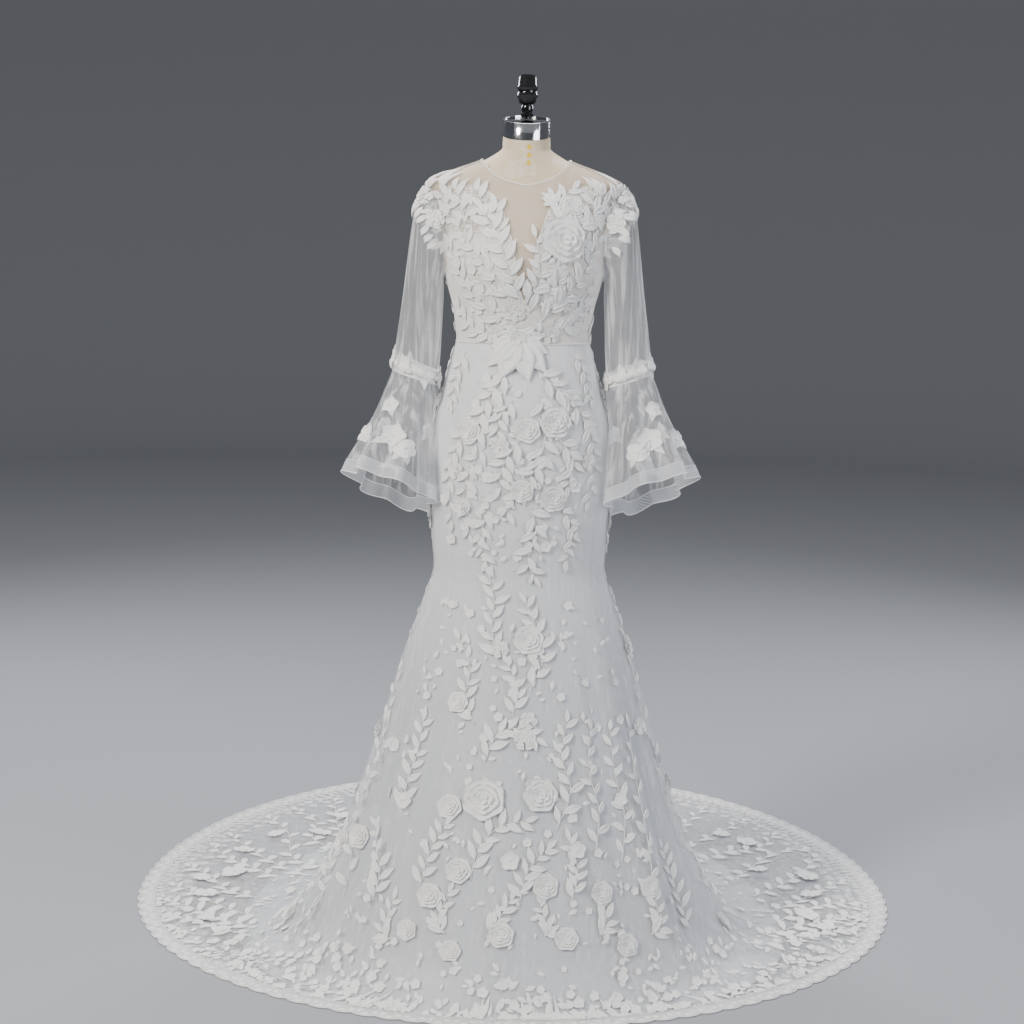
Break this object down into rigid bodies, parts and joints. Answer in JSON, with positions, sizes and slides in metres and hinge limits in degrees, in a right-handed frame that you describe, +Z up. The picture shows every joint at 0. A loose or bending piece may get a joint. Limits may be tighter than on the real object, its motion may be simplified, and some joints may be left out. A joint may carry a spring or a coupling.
{
  "type": "mermaid gown on a dress form",
  "caption": "Lace mermaid gown with a sheer yoke, bell sleeves and a chapel train, worn by a limbless dress form on a stand.",
  "frame": {"origin": "centre of the stand's underside, on the floor", "axes": "+Z up, the gown's front faces -Y, the wearer's left is +X"},
  "size_m": [1.6054, 1.7192, 1.7],
  "materials": {
    "tulle": "soft ivory white tulle, sheer, matt",
    "illusion_mesh": "fine sheer mesh in a skin-beige tint",
    "corded_lace": "white corded lace motifs on net, raised edges",
    "lining_satin": "white satin, soft sheen",
    "horsehair_braid": "white crin braid with a rolled edge",
    "covered_button": "satin covered buttons",
    "form_cover": "cream canvas over papier mache, lightly scuffed",
    "chrome_band": "polished",
    "black_turned": "glossy black, turned",
    "pole_steel": "brushed",
    "base_paint": "satin black paint"
  },
  "bodies": {
    "root": {"skirt_front": "tulle", "skirt_back_left": "tulle", "skirt_back_right": "tulle", "sleeve_left": "tulle", "sleeve_right": "tulle", "bell_left": "tulle", "bell_right": "tulle", "yoke_front": "illusion_mesh", "yoke_back_left": "illusion_mesh", "yoke_back_right": "illusion_mesh", "bodice_front": "corded_lace", "bodice_back_left": "corded_lace", "bodice_back_right": "corded_lace", "placket": "corded_lace", "sleeve_band_left": "corded_lace", "sleeve_band_right": "corded_lace", "cap_lace_left": "corded_lace", "cap_lace_right": "corded_lace", "edging_front": "corded_lace", "edging_back_left": "corded_lace", "edging_back_right": "corded_lace", "spray_neck_left": "corded_lace", "spray_neck_right": "corded_lace", "rose_bust_left": "corded_lace", "rose_bust_right": "corded_lace", "rose_waist_left": "corded_lace", "rose_skirt_1": "corded_lace", "rose_skirt_2": "corded_lace", "rose_skirt_3": "corded_lace", "rose_skirt_4": "corded_lace", "rose_skirt_5": "corded_lace", "rose_skirt_6": "corded_lace", "rose_skirt_7": "corded_lace", "branch_skirt_1": "corded_lace", "branch_skirt_2": "corded_lace", "branch_skirt_3": "corded_lace", "branch_skirt_4": "corded_lace", "branch_skirt_5": "corded_lace", "branch_skirt_6": "corded_lace", "lining_front": "lining_satin", "lining_back_left": "lining_satin", "lining_back_right": "lining_satin", "bell_hem_left": "horsehair_braid", "bell_hem_right": "horsehair_braid", "button_01": "covered_button", "button_02": "covered_button", "button_03": "covered_button", "button_04": "covered_button", "button_05": "covered_button", "button_06": "covered_button", "button_07": "covered_button", "button_08": "covered_button", "button_09": "covered_button", "button_10": "covered_button", "form_body": "form_cover", "form_neck_ring": "chrome_band", "form_neck_plate": "black_turned", "form_finial": "black_turned", "form_pole": "pole_steel", "form_base": "base_paint"}
  },
  "joints": []
}
